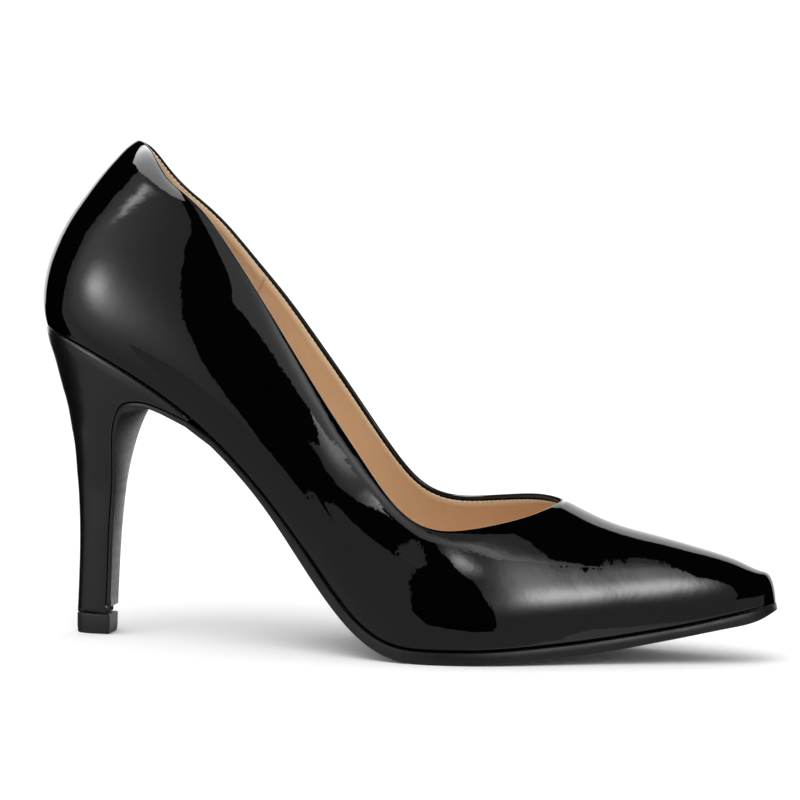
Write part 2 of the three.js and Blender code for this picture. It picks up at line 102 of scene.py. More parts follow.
# Sections of the last, as the solids have them: place as a share of LENGTH, rise of SEAT_RISE,
# spring of TOE_SPRING, side of SIDE_RISE, crown of CROWN, half width as seat of SEAT_WIDTH plus
# ball of BALL_WIDTH, centre and tilt of SWING, and squareness.
SECTIONS = [
    # at, rise, spring, side, crown, seat, ball, centre, tilt, full
    (0.000, 1.000, 0.000, 0.74, 0.990, 0.000, 0.000, 0.00, 0.00, -0.060),
    (0.022, 0.986, 0.000, 0.76, 0.990, 0.268, 0.000, 0.00, 0.00, -0.060),
    (0.062, 0.952, 0.000, 0.82, 0.990, 0.401, 0.000, 0.00, 0.03, -0.062),
    (0.115, 0.891, 0.000, 0.89, 0.980, 0.478, 0.000, 0.00, 0.07, -0.065),
    (0.186, 0.788, 0.000, 0.97, 0.960, 0.500, 0.000, -0.03, 0.21, -0.070),
    (0.257, 0.651, 0.000, 1.00, 0.960, 0.400, 0.061, -0.09, 0.44, -0.075),
    (0.328, 0.471, 0.000, 0.97, 0.980, 0.280, 0.137, -0.15, 0.71, -0.080),
    (0.390, 0.284, 0.000, 0.89, 1.000, 0.140, 0.254, -0.18, 0.91, -0.080),
    (0.448, 0.113, 0.000, 0.79, 1.000, 0.050, 0.368, -0.18, 1.00, -0.080),
    (0.506, 0.018, 0.000, 0.69, 0.955, 0.000, 0.464, -0.15, 0.96, -0.080),
    (0.568, 0.000, 0.000, 0.63, 0.847, 0.000, 0.500, -0.10, 0.85, -0.078),
    (0.639, 0.000, 0.022, 0.59, 0.694, 0.000, 0.474, -0.07, 0.71, -0.065),
    (0.712, 0.000, 0.115, 0.55, 0.539, 0.000, 0.394, -0.04, 0.53, -0.042),
    (0.772, 0.000, 0.230, 0.50, 0.422, 0.000, 0.321, -0.02, 0.38, -0.022),
    (0.834, 0.000, 0.388, 0.43, 0.343, 0.000, 0.250, 0.00, 0.24, -0.005),
    (0.896, 0.000, 0.576, 0.33, 0.270, 0.000, 0.188, 0.00, 0.12, 0.010),
    (0.949, 0.000, 0.777, 0.20, 0.202, 0.000, 0.135, 0.00, 0.03, 0.022),
    (0.980, 0.000, 0.907, 0.115, 0.149, 0.000, 0.090, 0.00, 0.00, 0.030),
    (0.995, 0.000, 0.978, 0.045, 0.105, 0.000, 0.046, 0.00, 0.00, 0.030),
    (1.000, 0.000, 1.000, 0.000, 0.000, 0.000, 0.000, 0.00, 0.00, 0.030),
]

# Back seam: height above the feather line of BACK_HEIGHT, lean of BACK_LEAN
BACK_CURVE = [
    # up, lean
    (-0.70, 0.310), (0.00, 0.000), (0.09, -0.042), (0.167, -0.050), (0.245, -0.031),
    (0.35, 0.023), (0.475, 0.131), (0.58, 0.254), (0.70, 0.438), (0.825, 0.654),
    (0.93, 0.862), (1.05, 1.096), (1.32, 1.615),
]

# Topline: share of the way from collar to throat, and heights on the outer and the inner side as
# shares of the way from the throat up to the collar
TOPLINE = [
    # along, outer, inner
    (0.000, 1.000, 1.000), (0.024, 0.993, 0.978), (0.052, 0.966, 0.926),
    (0.090, 0.907, 0.866), (0.138, 0.855, 0.813), (0.195, 0.798, 0.748),
    (0.260, 0.698, 0.656), (0.335, 0.560, 0.548), (0.410, 0.412, 0.426),
    (0.490, 0.258, 0.287), (0.570, 0.118, 0.138), (0.638, 0.014, 0.028),
    (0.695, -0.043, -0.012), (0.750, -0.066, -0.019), (0.815, -0.065, -0.011),
    (0.890, -0.048, 0.002), (0.955, -0.025, 0.007), (1.000, 0.000, 0.000),
]

# Heel levels from the top piece to the seat
HEEL = [
    # backAt, backUp, frontAt, frontUp, half, seat
    (0.0435, 0.000, 0.0878, 0.000, 0.088, 0.00),
    (0.0454, 0.160, 0.0904, 0.204, 0.092, 0.00),
    (0.0457, 0.311, 0.0922, 0.328, 0.103, 0.00),
    (0.0435, 0.438, 0.0953, 0.441, 0.113, 0.00),
    (0.0412, 0.509, 0.0984, 0.543, 0.142, 0.00),
    (0.0386, 0.599, 0.1024, 0.646, 0.208, 0.01),
    (0.0346, 0.669, 0.1091, 0.747, 0.282, 0.05),
    (0.0293, 0.741, 0.1215, 0.836, 0.327, 0.20),
    (0.0222, 0.802, 0.1397, 0.888, 0.360, 0.42),
    (0.0155, 0.859, 0.1619, 0.924, 0.370, 0.66),
    (0.0098, 0.908, 0.1863, 0.949, 0.375, 0.85),
    (0.0035, 0.952, 0.2062, 0.966, 0.380, 0.96),
    (0.0000, 0.990, 0.2240, 0.984, 0.380, 1.00),
]

# Outsole along the foot: shares of SOLE, WAIST_SOLE, SOLE_LIP and SOLE_CROWN
SOLE_ROWS = [
    # at, fore, waist, lip, crown
    (0.20, 0.00, 0.70, 0.0, 1.00),
    (0.25, 0.00, 0.85, 0.0, 0.95),
    (0.34, 0.00, 1.00, 0.0, 0.55),
    (0.39, 0.45, 0.50, 0.2, 0.30),
    (0.45, 0.76, 0.00, 0.6, 0.10),
    (0.53, 1.00, 0.00, 1.0, 0.00),
    (0.65, 1.00, 0.00, 1.0, 0.00),
    (0.80, 0.93, 0.00, 1.0, 0.00),
    (0.94, 0.87, 0.00, 1.0, 0.00),
    (0.98, 0.82, 0.00, 1.0, 0.00),
    (1.00, 0.50, 0.00, 1.0, 0.00),
]


def spline(xs, ys):
    """Natural cubic spline through the points, as a function of arrays."""
    xs, ys = np.array(xs, float), np.array(ys, float)
    step = np.diff(xs)
    count = len(xs)
    matrix = np.eye(count)
    right = np.zeros(count)
    for i in range(1, count - 1):
        matrix[i, i - 1:i + 2] = step[i - 1], 2 * (step[i - 1] + step[i]), step[i]
        right[i] = 6 * ((ys[i + 1] - ys[i]) / step[i] - (ys[i] - ys[i - 1]) / step[i - 1])
    bend = np.linalg.solve(matrix, right)

    def value(x):
        x = np.asarray(x, float)
        i = np.clip(np.searchsorted(xs, x) - 1, 0, count - 2)
        a = (xs[i + 1] - x) / step[i]
        b = 1 - a
        curve = (a ** 3 - a) * bend[i] + (b ** 3 - b) * bend[i + 1]
        return a * ys[i] + b * ys[i + 1] + curve * step[i] ** 2 / 6

    return value


def mix(a, b, share):
    return a + (b - a) * share


def along(share):
    return (np.asarray(share) - ORIGIN_SHARE) * LENGTH


def smooth(low, high, value):
    t = np.clip((value - low) / (high - low), 0, 1)
    return t * t * (3 - 2 * t)


sections = np.array(SECTIONS).T
station = along(sections[0])
BACK_X, TOE_X, THROAT_X = station[0], station[-1], float(along(THROAT_SHARE))
feather = spline(station, SOLE + sections[1] * SEAT_RISE + sections[2] * TOE_SPRING)
side_rise = spline(station, sections[3] * SIDE_RISE)
crown_squared = spline(station, (sections[4] * CROWN) ** 2)
half_squared = spline(station, (sections[5] * SEAT_WIDTH + sections[6] * BALL_WIDTH) ** 2)
centre = spline(station, sections[7] * SWING)
tilt = spline(station, sections[8] * SWING)
full = spline(station, sections[9])
back_curve = np.array(BACK_CURVE).T
lean = spline(back_curve[0] * BACK_HEIGHT, back_curve[1] * BACK_LEAN)
COLLAR_X = BACK_X + float(lean(BACK_HEIGHT))


def last_point(x, angle, side):
    """Point of the last at station x; angle runs from the widest line (0) to the ridge (pi/2)."""
    x, angle, side = np.broadcast_arrays(np.asarray(x, float), angle, side)
    q = full(x)
    across = (np.cos(angle) - q * np.cos(3 * angle)) / (1 - q)
    upward = (np.sin(angle) + q * np.sin(3 * angle)) / (1 - q)
    height = np.maximum(side_rise(x), 0) + np.sqrt(np.maximum(crown_squared(x), 0)) * upward
    half = np.sqrt(np.maximum(half_squared(x), 0))
    t = np.clip((x - BACK_X) / (float(along(LEAN_END_SHARE)) - BACK_X), 0, 1)
    leaning = 1 - t ** 3 * (10 - 15 * t + 6 * t * t)
    return np.stack([
        x + lean(height) * leaning,
        centre(x) + side * half * across + tilt(x) * upward,
        feather(x) + height,
    ], -1)


def unit(v):
    return v / np.maximum(np.linalg.norm(v, axis=-1, keepdims=True), 1e-12)


def last_slopes(x, angle, side):
    """How the last's point moves with x and with the angle."""
    x, angle, side = np.broadcast_arrays(np.asarray(x, float), angle, side)
    turn = 1e-3
    rise = (last_point(x, angle + turn, side) - last_point(x, angle - turn, side)) / (2 * turn)
    step = np.minimum(0.2, np.minimum(x - BACK_X, TOE_X - x) / 4)
    safe = np.maximum(step, 1e-6)[..., None]
    run = (last_point(x + step, angle, side) - last_point(x - step, angle, side)) / (2 * safe)
    return run, rise


def last_normal(x, angle, side):
    """Unit normal of the last, pointing out."""
    x, angle, side = np.broadcast_arrays(np.asarray(x, float), angle, side)
    run, rise = last_slopes(x, angle, side)
    normal = unit(np.cross(run, rise) * -side[..., None])
    back = unit(np.stack([-rise[..., 2], 0 * x, rise[..., 0]], -1))
    normal = np.where((x < BACK_X + 1e-6)[..., None], back, normal)
    return np.where((x > TOE_X - 1e-6)[..., None], [1.0, 0.0, 0.0], normal)


def angle_at(x, side, target):
    """Angle at which a section reaches the height that target gives for the point's own x."""
    low = np.full(np.shape(x), -math.pi / 2)
    high = np.full(np.shape(x), math.pi / 2)
    for _ in range(40):
        middle = (low + high) / 2
        point = last_point(x, middle, side)
        below = point[..., 2] < target(point[..., 0], x)
        low = np.where(below, middle, low)
        high = np.where(below, high, middle)
    return (low + high) / 2


THROAT_Z = float(last_point(THROAT_X, math.pi / 2, 1)[2])
COLLAR_Z = float(feather(BACK_X)) + BACK_HEIGHT
topline = np.array(TOPLINE).T
topline_x = mix(COLLAR_X, THROAT_X, topline[0])
outer_top = spline(topline_x, mix(THROAT_Z, COLLAR_Z, topline[1]))
inner_top = spline(topline_x, mix(THROAT_Z, COLLAR_Z, topline[2]))


def feather_angle(x, side):
    return angle_at(x, side, lambda point_x, x: feather(x))


def top_angle(x, side):
    top = outer_top if side < 0 else inner_top
    angle = angle_at(x, side, lambda point_x, x: top(np.maximum(point_x, COLLAR_X)))
    return np.where(x > THROAT_X - 1e-6, math.pi / 2, angle)


def feather_y(x, side):
    return last_point(x, feather_angle(x, side), side)[..., 1]


# The frame's solids are moved so that the origin is under the middle of the shoe
tip_low, tip_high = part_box("heel_tip")
SHIFT = np.array([
    tip_low[0] / MM - (BACK_X + TIP_BACK),
    (tip_low[1] + tip_high[1]) / 2 / MM,
    0.0,
])


def make_object(name, points, faces, material_slots, face_slots=None, weld=0.004):
    """Mesh object from points in millimetres, with near points welded and normals pointing out."""
    mesh = bpy.data.meshes.new(name)
    mesh.from_pydata(((np.asarray(points) + SHIFT) * MM).tolist(), [], faces)
    for material in material_slots:
        mesh.materials.append(material)
    if face_slots is not None:
        mesh.polygons.foreach_set("material_index", face_slots)
    form = bmesh.new()
    form.from_mesh(mesh)
    bmesh.ops.remove_doubles(form, verts=form.verts, dist=weld * MM)
    bmesh.ops.dissolve_degenerate(form, edges=form.edges, dist=1e-7)
    bmesh.ops.recalc_face_normals(form, faces=form.faces)
    form.to_mesh(mesh)
    form.free()
    mesh.polygons.foreach_set("use_smooth", [True] * len(mesh.polygons))
    thing = bpy.data.objects.new(name, mesh)
    bpy.context.scene.collection.objects.link(thing)
    return thing


def place(thing, slot, *nodes):
    """Rides on the one body and stands for the nodes; the slot is not used."""
    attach(thing, "root")
    if nodes:
        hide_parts(*nodes)
    return thing


class Sheets:
    """Grids of points that together make one closed skin, each with its material slot."""

    def __init__(self):
        self.points = []
        self.faces = []
        self.slots = []

    def add(self, grid, slot=0, wrap=False):
        rows, columns = grid.shape[:2]
        start = len(self.points)
        self.points.extend(grid.reshape(-1, 3))
        for i in range(rows - 1):
            for j in range(columns if wrap else columns - 1):
                k = (j + 1) % columns
                corner = start + i * columns
                self.faces.append((corner + j, corner + k, corner + columns + k, corner + columns + j))
                self.slots.append(slot)

    def build(self, name, materials, weld=0.004):
        return make_object(name, self.points, self.faces, materials, self.slots, weld)


# Materials

class Value:
    """A socket in a graph; arithmetic on it adds the Math nodes."""

    def __init__(self, graph, socket):
        self.graph = graph
        self.socket = socket

    def maths(self, operation, first, second):
        return self.graph.node("ShaderNodeMath", {"operation": operation}, {0: first, 1: second})[0]

    def __add__(self, other):
        return self.maths("ADD", self, other)

    def __sub__(self, other):
        return self.maths("SUBTRACT", self, other)

    def __mul__(self, other):
        return self.maths("MULTIPLY", self, other)

    def over(self, low, high):
        """Smooth share, 0 below low and 1 above high."""
        return self.graph.node(
            "ShaderNodeMapRange", {"interpolation_type": "SMOOTHSTEP"},
            {"Value": self, "From Min": low, "From Max": high},
        )[0]

    def exponent(self):
        return self.maths("EXPONENT", self, 0.0)

    __radd__ = __add__
    __rmul__ = __mul__


class Graph:
    """Nodes of a material or a world; node() adds one and returns its outputs as values."""

    def __init__(self, tree):
        self.tree = tree

    def node(self, kind, settings, inputs):
        node = self.tree.nodes.new(kind)
        for key, value in settings.items():
            setattr(node, key, value)
        for key, value in inputs.items():
            self.plug(node.inputs[key], value)
        return [Value(self, output) for output in node.outputs]

    def plug(self, entry, value):
        if isinstance(value, Value):
            self.tree.links.new(value.socket, entry)
        else:
            entry.default_value = value


class Finish(Graph):
    """One material with its Principled shader."""

    def __init__(self, name, **constants):
        self.material = bpy.data.materials.new(name)
        self.material.use_nodes = True
        super().__init__(self.material.node_tree)
        self.shader = self.tree.nodes["Principled BSDF"]
        for key, value in constants.items():
            self.shader.inputs[key.replace("_", " ")].default_value = value

    def feed(self, name, value):
        self.plug(self.shader.inputs[name], value)

    def noise(self, scale, detail=2.0, roughness=0.5, stretch=(1, 1, 1)):
        """Noise with `scale` grains in a metre of the object."""
        where = self.node("ShaderNodeTexCoord", {}, {})[3]
        where = self.node("ShaderNodeMapping", {}, {"Vector": where, "Scale": stretch})[0]
        return self.node(
            "ShaderNodeTexNoise", {},
            {"Vector": where, "Scale": scale, "Detail": detail, "Roughness": roughness},
        )[0]

    def bump(self, height, distance_mm, strength=1.0):
        made = self.node(
            "ShaderNodeBump", {},
            {"Height": height, "Distance": distance_mm * MM, "Strength": strength},
        )[0]
        self.feed("Normal", made)

    def blend(self, share, first, second):
        """Colour between two, by a share."""
        return self.node(
            "ShaderNodeMix", {"data_type": "RGBA"}, {0: share, 6: first, 7: second},
        )[2]


def patent_leather():
    finish = Finish("patent_leather", IOR=1.5, Roughness=0.03)
    finish.feed("Base Color", finish.blend(
        finish.noise(60, 3), (0.0004, 0.0004, 0.0005, 1), (0.0010, 0.0010, 0.0011, 1)))
    finish.bump(finish.noise(75, 1) * 0.5 + finish.noise(330, 2) * 0.1, 0.3)
    return finish.material


def sole_edge():
    finish = Finish("sole_edge", Specular_IOR_Level=0.5)
    finish.feed("Base Color", finish.blend(
        finish.noise(300, 4), (0.004, 0.004, 0.0045, 1), (0.009, 0.009, 0.0095, 1)))
    finish.feed("Roughness", finish.noise(200, 4, stretch=(0.3, 0.3, 3)) * 0.2 + 0.32)
    finish.bump(finish.noise(900, 4), 0.08)
    return finish.material


def heel_lacquer():
    finish = Finish("heel_lacquer", Coat_Weight=0.25, Coat_Roughness=0.12)
    finish.feed("Base Color", finish.blend(
        finish.noise(120, 3), (0.0015, 0.0015, 0.0018, 1), (0.003, 0.003, 0.0033, 1)))
    finish.feed("Roughness", finish.noise(260, 3) * 0.1 + 0.26)
    finish.bump(finish.noise(700, 3), 0.03)
    return finish.material


def top_piece():
    finish = Finish("top_piece")
    finish.feed("Base Color", finish.blend(
        finish.noise(500, 4), (0.004, 0.004, 0.004, 1), (0.009, 0.009, 0.009, 1)))
    finish.feed("Roughness", finish.noise(400, 3) * 0.2 + 0.45)
    finish.bump(finish.noise(1500, 3), 0.06)
    return finish.material


def lining_leather():
    finish = Finish("lining_leather", Specular_IOR_Level=0.4)
    tone = finish.noise(35, 3) * 0.7 + finish.noise(400, 4) * 0.3
    finish.feed("Base Color", finish.blend(tone, (0.65, 0.43, 0.25, 1), (0.80, 0.58, 0.37, 1)))
    finish.feed("Roughness", finish.noise(180, 3) * 0.2 + 0.36)
    wrinkles = finish.noise(60, 2, stretch=(0.35, 1.0, 0.6)) * 9.0
    finish.bump(finish.noise(1800, 4) * 0.4 + finish.noise(70, 2) * 2.0 + wrinkles, 0.10)
    return finish.material


def counter_suede():
    finish = Finish("counter_suede", Roughness=0.92, Sheen_Weight=0.35, Sheen_Roughness=0.5)
    tone = finish.noise(120, 3) * 0.5 + finish.noise(1600, 4) * 0.5
    finish.feed("Base Color", finish.blend(tone, (0.56, 0.36, 0.20, 1), (0.76, 0.54, 0.34, 1)))
    finish.bump(finish.noise(2600, 5), 0.16)
    return finish.material


def lining_edge():
    finish = Finish("lining_edge", Roughness=0.85)
    finish.feed("Base Color", finish.blend(
        finish.noise(1400, 3), (0.62, 0.47, 0.31, 1), (0.80, 0.68, 0.50, 1)))
    finish.bump(finish.noise(2500, 3), 0.08)
    return finish.material


PATENT = patent_leather()
SOLE_EDGE = sole_edge()
LACQUER = heel_lacquer()
TOP_PIECE = top_piece()
TAN = lining_leather()
SUEDE = counter_suede()
PALE = lining_edge()


# Upper

def stations(opening, vamp):
    """Stations from back to toe, close together at the back, the throat and the toe."""
    back = mix(BACK_X, THROAT_X, (1 - np.cos(np.pi * np.arange(opening) / opening)) / 2)
    front = mix(THROAT_X, TOE_X, np.sin(np.pi * np.arange(vamp + 1) / vamp / 2))
    return np.concatenate([back, front])


def edge_frame(x, angle, side, start, end):
    """Points along an edge of the surface, with the normal and the direction out over the edge."""
    points = last_point(x, angle, side)
    normal = last_normal(x, angle, side)
    run = np.gradient(points, axis=0)
    run[0] = start
    run[-1] = end
    over = unit(np.cross(normal, unit(run)) * -side)
    return points, normal, over


def move_on_surface(x, angle, side, move):
    """Steps in x and angle that move the surface's points by the given vectors."""
    run, rise = last_slopes(x, angle, side)
    a, b, c = (run * run).sum(-1), (run * rise).sum(-1), (rise * rise).sum(-1)
    u, v = (run * move).sum(-1), (rise * move).sum(-1)
    steep = (x < BACK_X + 1e-6) | (x > TOE_X - 1e-6)
    det = np.where(steep, 1.0, a * c - b * b)
    dx = np.where(steep, 0.0, (c * u - b * v) / det)
    dangle = np.where(steep, v / np.maximum(c, 1e-9), (a * v - b * u) / det)
    return dx, dangle


class Skin:
    """Upper's surface between the feather line and the topline or ridge, for one side."""

    def __init__(self, x, side, rim, roll):
        self.x, self.side = x, side
        self.low = feather_angle(x, side)
        self.high = top_angle(x, side)
        opening = x < THROAT_X + 1e-6
        count = int(opening.sum())
        xo, high = x[:count], self.high[:count]
        sideways = np.array([0.0, side, 0.0])
        _, _, over = edge_frame(xo, high, side, sideways, -sideways)
        rim = np.broadcast_to(rim, x.shape)[:count]
        dx, dangle = move_on_surface(xo, high, side, over * -rim[:, None])
        dx[-1] = rim[-1] / np.linalg.norm(last_slopes(xo[-1], high[-1], side)[0])
        dangle[-1] = 0.0
        self.count = count
        fade = 1 - (x[count:] - THROAT_X) / (TOE_X - THROAT_X)
        self.top_dx = np.concatenate([dx, dx[-1] * fade])
        self.top_angle = self.high + np.concatenate([dangle, np.zeros(len(fade))])
        self.roll = roll * smooth(0, 7, TOE_X - x)
        self.curl = by_share(CURL, x) * (x < THROAT_X + 1e-6)
        _, _, over = edge_frame(x, self.low, side, sideways, np.array([0.0, -side, 0.0]))
        ldx, ldangle = move_on_surface(x, self.low, side, over * self.roll[:, None])
        self.low_dx = np.where(x > TOE_X - 8, 0, ldx)
        self.low_angle = self.low + np.where(x > TOE_X - 0.2, 0, np.clip(ldangle, 0, 0.5))

    def param(self, shares):
        """Station and angle at each share of the way from the feather line to the topline."""
        s = np.asarray(shares)[:, None]
        x = self.x + self.top_dx * s ** 4 + self.low_dx * (1 - s) ** 4
        return np.clip(x, BACK_X, TOE_X), mix(self.low_angle, self.top_angle, s)

    def rows(self, shares, depth=0.0):
        """Rows of points at a depth, drawn in where the surface curls towards the topline."""
        x, angle = self.param(shares)
        side = np.where(angle > math.pi / 2 - 1e-9, 1, self.side)
        points = last_point(x, angle, side)
        reach = np.linalg.norm(points[-1:] - points, axis=-1) if len(shares) > 1 else 0.0
        depth = depth + self.curl * np.clip(1 - reach / CURL_REACH, 0, 1) ** 2
        return points - depth[..., None] * last_normal(x, angle, side)

    def top_edge(self):
        x, angle = self.param([1.0])
        x, angle = x[0, :self.count], angle[0, :self.count]
        sideways = np.array([0.0, self.side, 0.0])
        points, normal, over = edge_frame(x, angle, self.side, sideways, -sideways)
        curl = self.curl[:self.count, None]
        turn = np.arctan(2 * curl / CURL_REACH)
        turned = np.cos(turn) * normal + np.sin(turn) * over
        return points - curl * normal, turned, np.cos(turn) * over - np.sin(turn) * normal

    def low_edge(self):
        x, angle = self.param([0.0])
        sideways = np.array([0.0, self.side, 0.0])
        points, normal, over = edge_frame(x[0], angle[0], self.side, sideways, -sideways)
        over[-1] = [0.0, 0.0, 1.0]
        return points, normal, -over


def arc(points, normal, over, radius, degrees, count):
    """Rows that roll an edge inward about a line one radius inside it."""
    radius = np.broadcast_to(radius, points.shape[:1])[:, None]
    middle = points - radius * normal
    turns = np.radians(np.linspace(0, degrees, count))
    return np.stack([middle + radius * (math.cos(t) * normal + math.sin(t) * over) for t in turns])


def by_share(table, x):
    """Column of a table of shares of the way from the collar to the throat."""
    return np.interp((x - COLLAR_X) / (THROAT_X - COLLAR_X), *np.array(table).T)


def build_upper():
    columns = stations(170, 90)
    sheets = Sheets()
    for side in (-1, 1):
        skin = Skin(columns, side, RIM - by_share(LIFT, columns), ROLL)
        outer = skin.rows(np.linspace(0, 1, 60))
        inner = skin.rows(np.linspace(1, 0, 30), 2 * RIM)
        rim = arc(*skin.top_edge(), RIM, 180, 10)
        roll = arc(*skin.low_edge(), skin.roll, 95, 8)
        sheets.add(outer)
        sheets.add(rim)
        sheets.add(inner)
        join = np.stack([rim[-1], inner[0, :skin.count]])
        sheets.add(join)
        under = np.stack([roll[-1], mix(roll[-1], inner[-1], 0.5), inner[-1]])
        sheets.add(roll)
        sheets.add(under)
    place(sheets.build("patent_upper", [PATENT]), "patent", "upper")


def build_lining():
    """Lining against the inside of the patent, from under the turned-in band to the insole."""
    columns = stations(520, 60)
    for side, name in ((-1, "lining_outer"), (1, "lining_inner")):
        below = RIM + by_share(BAND, columns) - by_share(LIFT, columns)
        skin = Skin(columns, side, below, ROLL)
        distance = np.concatenate([[0], np.cumsum(np.linalg.norm(
            np.diff(skin.rows([1.0])[0], axis=0), axis=1))])
        wave = np.abs((distance / PINK_PITCH) % 1 * 2 - 1) * PINK_DEPTH
        back, front = 2 * RIM + TUCK, 2 * RIM + LINING
        shares = np.linspace(0, 1, 22)
        inner, outer = skin.rows(shares, front), skin.rows(shares, back)
        lift = np.zeros((len(shares), len(columns), 1))
        lift[-1, :, 0] = wave
        over = np.zeros(inner.shape[1:])
        over[:skin.count] = skin.top_edge()[2]
        inner, outer = inner + lift * over, outer + lift * over
        sheets = Sheets()
        sheets.add(inner, 0)
        sheets.add(outer, 0)
        sheets.add(np.stack([inner[-1], outer[-1]]), 1)
        sheets.add(np.stack([inner[0], outer[0]]), 0)
        sheets.add(np.stack([inner[:, 0], outer[:, 0]]), 0)
        place(sheets.build(name, [TAN, PALE], weld=0.001), "lining")


COUNTER_END = -57.0
COUNTER_DROP = 0.4


def build_counter():
    """Suede counter lining round the back of the collar, over the lining."""
    columns = stations(260, 40)
    columns = columns[columns < COUNTER_END]
    columns = np.append(columns, COUNTER_END)
    sheets = Sheets()
    for side in (-1, 1):
        ends = np.append(columns, THROAT_X)
        below = RIM + by_share(BAND, ends) - by_share(LIFT, ends) + COUNTER_DROP
        skin = Skin(ends, side, below, ROLL)
        rough = 0.35 * np.sin(np.linspace(0, 40, 30)) + 0.2 * np.sin(np.linspace(0, 97, 30))
        shares = np.linspace(0.05, 1, 30)
        front = skin.rows(shares, 2 * RIM + LINING + COUNTER)[:, :-1]
        back = skin.rows(shares, 2 * RIM + LINING + TUCK)[:, :-1]
        for grid in (front, back):
            grid[:, -1, 0] += rough
        sheets.add(front)
        sheets.add(back)
        sheets.add(np.stack([front[-1], back[-1]]))
        sheets.add(np.stack([front[0], back[0]]))
        sheets.add(np.stack([front[:, -1], back[:, -1]]))
    place(sheets.build("counter_lining", [SUEDE]), "lining")


# Heel

heel_rows = np.array(HEEL).T
level_numbers = np.arange(len(HEEL))
TOP_LEVEL = len(HEEL) - 1
HEEL_FOOT = TIP_HEIGHT + GAP
heel_back_x = spline(level_numbers, along(heel_rows[0]))
heel_back_up = spline(level_numbers, heel_rows[1])
heel_front_x = spline(level_numbers, along(heel_rows[2]))
heel_front_up = spline(level_numbers, heel_rows[3])
heel_half = spline(level_numbers, heel_rows[4] * SEAT_WIDTH)
heel_seat = spline(level_numbers, heel_rows[5])


def heel_z(x, up):
    return mix(HEEL_FOOT, feather(x) - GAP, up)


def heel_y(level, way, side):
    round_half = np.sqrt(np.maximum(1 - (1 - way) ** 2, 0)) * heel_half(level) * side
    seat_half = feather_y(mix(BACK_X, heel_front_x(level), way), side)
    return mix(round_half, seat_half, np.clip(heel_seat(level), 0, 1))


def heel_ring(level, lift, count=34):
    half = 1 - np.cos(np.pi / 2 * np.arange(count + 1) / count)
    parts = []
    for side, ways in ((-1, half[::-1]), (1, half[1:])):
        x = mix(heel_back_x(level), heel_front_x(level), ways)
        up = mix(heel_back_up(level), heel_front_up(level), ways)
        y = np.where(ways > 0, heel_y(level, ways, side), 0)
        parts.append(np.stack([x, y, heel_z(x, mix(up, 1, lift))], -1))
    ring = np.concatenate(parts)
    front = [mix(ring[-1], ring[0], share) for share in np.linspace(0, 1, 14)[1:-1]]
    return np.concatenate([ring, front])


def cap(sheets, ring, side_points):
    """Closes a ring with strips between the points that face each other."""
    left = ring[:side_points + 1][::-1]
    right = ring[side_points:2 * side_points + 1]
    shares = np.linspace(0, 1, 14)
    sheets.add(np.stack([mix(left, right, share) for share in shares]))


def build_heel():
    levels = np.linspace(0, TOP_LEVEL, 110)
    rings = [heel_ring(level, 0) for level in levels]
    rings.append(heel_ring(TOP_LEVEL, 1))
    sheets = Sheets()
    sheets.add(np.stack(rings), wrap=True)
    cap(sheets, rings[0], 34)
    cap(sheets, rings[-1], 34)
    place(sheets.build("heel_block", [LACQUER]), "heel_lacquer", "heel")


def build_tip():
    def ring(z, inset):
        count = 24
        half = 1 - np.cos(np.pi / 2 * np.arange(count + 1) / count)
        parts = []
        for side, ways in ((-1, half[::-1]), (1, half[1:])):
            x = BACK_X + TIP_BACK + inset + (TIP_LENGTH - 2 * inset) * ways
            y = side * (TIP_WIDTH / 2 - inset) * np.sqrt(1 - (1 - ways) ** 4)
            parts.append(np.stack([x, y, np.full(len(ways), z)], -1))
        outline = np.concatenate(parts)
        front = [mix(outline[-1], outline[0], share) for share in np.linspace(0, 1, 14)[1:-1]]
        return np.concatenate([outline, front])

    soft = 0.35
    profile = [
        (TIP_HEIGHT, soft), (TIP_HEIGHT - 0.1, 0.1), (TIP_HEIGHT - soft, 0), (2.0, 0.02),
        (soft, TIP_TAPER - 0.1), (0.1, TIP_TAPER), (0.0, TIP_TAPER + soft),
    ]
    rings = [ring(z, inset) for z, inset in profile]
    sheets = Sheets()
    sheets.add(np.stack(rings), wrap=True)
    cap(sheets, rings[0], 24)
    cap(sheets, rings[-1], 24)
    place(sheets.build("heel_top_piece", [TOP_PIECE]), "top_piece", "heel_tip")


# Outsole

sole_rows = np.array(SOLE_ROWS).T
sole_x = along(sole_rows[0])
sole_thick = spline(sole_x, sole_rows[1] * (SOLE - GAP) + sole_rows[2] * WAIST_SOLE)
sole_lip = spline(sole_x, sole_rows[3] * SOLE_LIP)
sole_crown = spline(sole_x, sole_rows[4] * SOLE_CROWN)
WEDGE_X = float(along(WEDGE_SHARE))


def sole_path():
    """Stops along the outsole: place, half widths, thickness and crown, from toe to flap end."""
    x = stations(150, 70)[::-1]
    x = x[x > WEDGE_X + 2 * SOLE]
    lip = np.where(x > TOE_X - 1e-6, 0, sole_lip(x))
    foot = np.stack([
        x, feather(x), -feather_y(x, -1) + lip, feather_y(x, 1) + lip, sole_thick(x), sole_crown(x),
    ], -1)
    share = np.append(np.linspace(0, 1, 80), 1)
    level = TOP_LEVEL * (1 - share * 0.99)
    fx = heel_front_x(level)
    one = np.ones_like(level)
    tongue = one.copy()
    tongue[-1] = 0
    flap = np.stack([
        fx, heel_z(fx, heel_front_up(level)),
        -heel_y(level, one, -1) * tongue, heel_y(level, one, 1) * tongue,
        mix(float(sole_thick(WEDGE_X)), FLAP, np.minimum(share * 4, 1)), SOLE_CROWN * (1 - share),
    ], -1)
    return np.concatenate([foot, flap])


